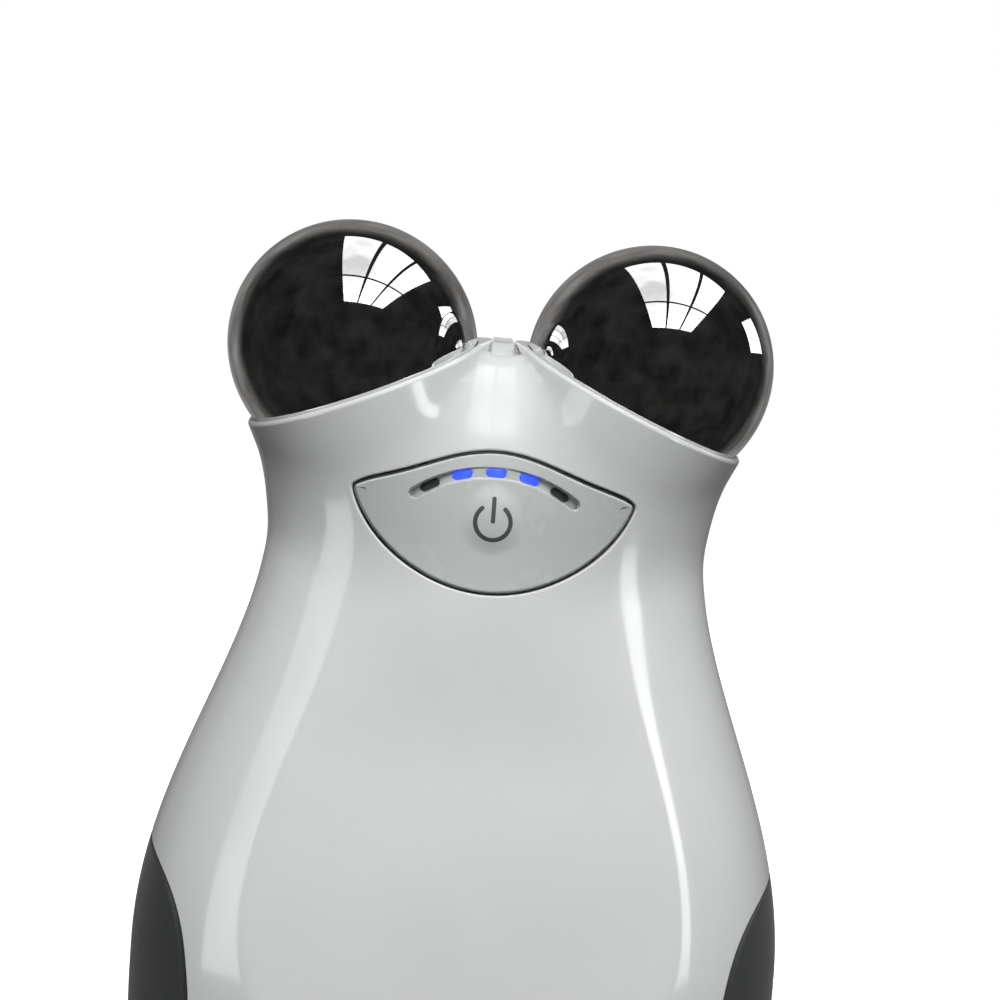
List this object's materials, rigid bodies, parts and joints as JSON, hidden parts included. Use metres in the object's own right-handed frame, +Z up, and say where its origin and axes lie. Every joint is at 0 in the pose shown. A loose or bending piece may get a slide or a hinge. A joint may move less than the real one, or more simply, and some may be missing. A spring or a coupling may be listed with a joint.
{
  "type": "facial toning device",
  "caption": "Hand-held facial toning device: two bright ball electrodes on leaning collars, white pear-shaped housing, almond key with light windows, side grips.",
  "frame": {"origin": "centre of the flat foot", "axes": "+Z up along the housing, -Y is the control side, +X to the viewer's right when the control side is faced"},
  "size_m": [0.0684, 0.0419, 0.1167],
  "materials": {
    "white_shell": "high gloss moulded",
    "grip_rubber": "soft matte",
    "bright_plating": "mirror plated",
    "seal_rubber": "matte",
    "inner_plastic": "moulded",
    "contact_brass": "tinned",
    "screw_steel": "zinc plated",
    "white_key": "satin gloss",
    "clear_lens": "frosted clear",
    "switch_black": "moulded",
    "switch_steel": "stamped",
    "board_green": "solder mask",
    "led_body": "clear",
    "chip_black": "moulded",
    "cell_wrap": "shrink film",
    "jack_black": "moulded"
  },
  "bodies": {
    "housing": {"front_shell": "white_shell", "rear_shell": "white_shell", "grip_left": "grip_rubber", "grip_right": "grip_rubber", "ball_left": "bright_plating", "ball_right": "bright_plating", "ball_seals": "seal_rubber", "electrode_frame": "inner_plastic", "contact_tabs": "contact_brass", "ball_screws": "screw_steel", "frame_screw": "screw_steel", "power_switch": "switch_steel", "circuit_board": "board_green", "indicator_leds": "led_body", "board_chips": "chip_black", "board_screws": "screw_steel", "battery": "cell_wrap", "battery_pad": "seal_rubber", "battery_tray": "inner_plastic", "tray_screws": "screw_steel", "dc_jack": "jack_black", "jack_contact": "contact_brass", "housing_screws": "screw_steel"},
    "key": {"key_panel": "white_key", "led_lens": "clear_lens", "switch_plunger": "switch_black"}
  },
  "joints": [
    {"name": "key_press", "type": "slide", "parent": "housing", "child": "key", "axis": [0, 1, 0], "range_m": [0, 0.0004], "stiffness_N_per_m": 1500, "springref_m": -0.0005}
  ]
}
